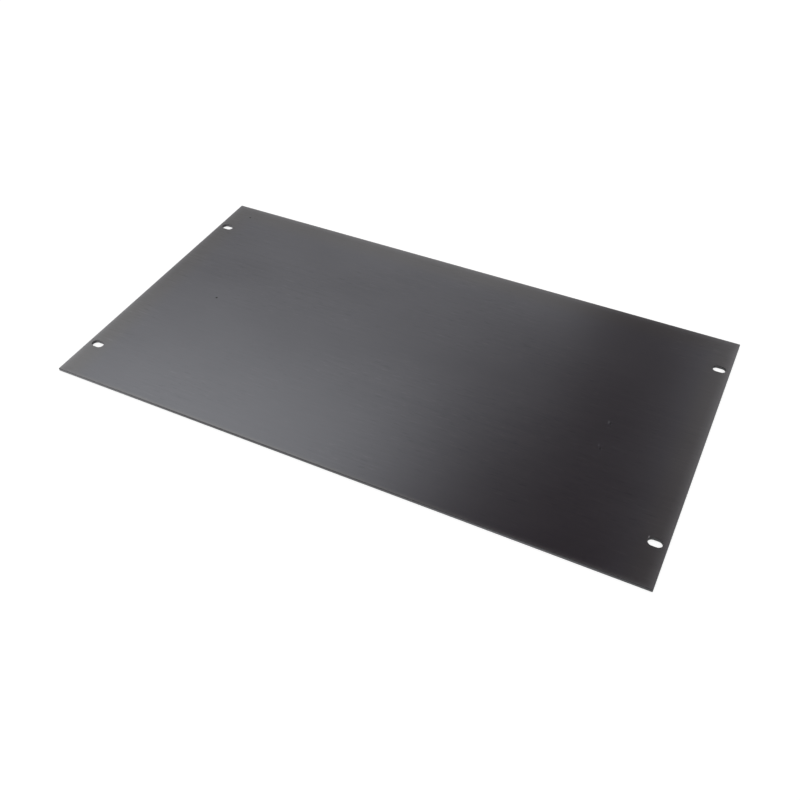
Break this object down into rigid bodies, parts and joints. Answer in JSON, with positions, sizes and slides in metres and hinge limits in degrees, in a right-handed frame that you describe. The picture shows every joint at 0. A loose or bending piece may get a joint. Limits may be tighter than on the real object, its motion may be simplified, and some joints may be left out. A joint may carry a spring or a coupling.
{
  "type": "rack blanking panel",
  "caption": "Flat rectangular sheet-metal panel, six units high, that closes an unused space in an equipment rack, with an obround mounting slot near each corner.",
  "frame": {"origin": "centre of the rear face, the one that lies against the rack's mounting rails", "axes": "+X across the rack, along the panel's length and its brushed grain; +Y up the rack; +Z out of the front face. The panel lies on its rear face."},
  "size_m": [0.4826, 0.2658, 0.0025],
  "materials": {
    "black_anodised_aluminium": "brushed along the length and anodised black, satin"
  },
  "bodies": {
    "root": {"blanking_panel": "black_anodised_aluminium"}
  },
  "joints": []
}
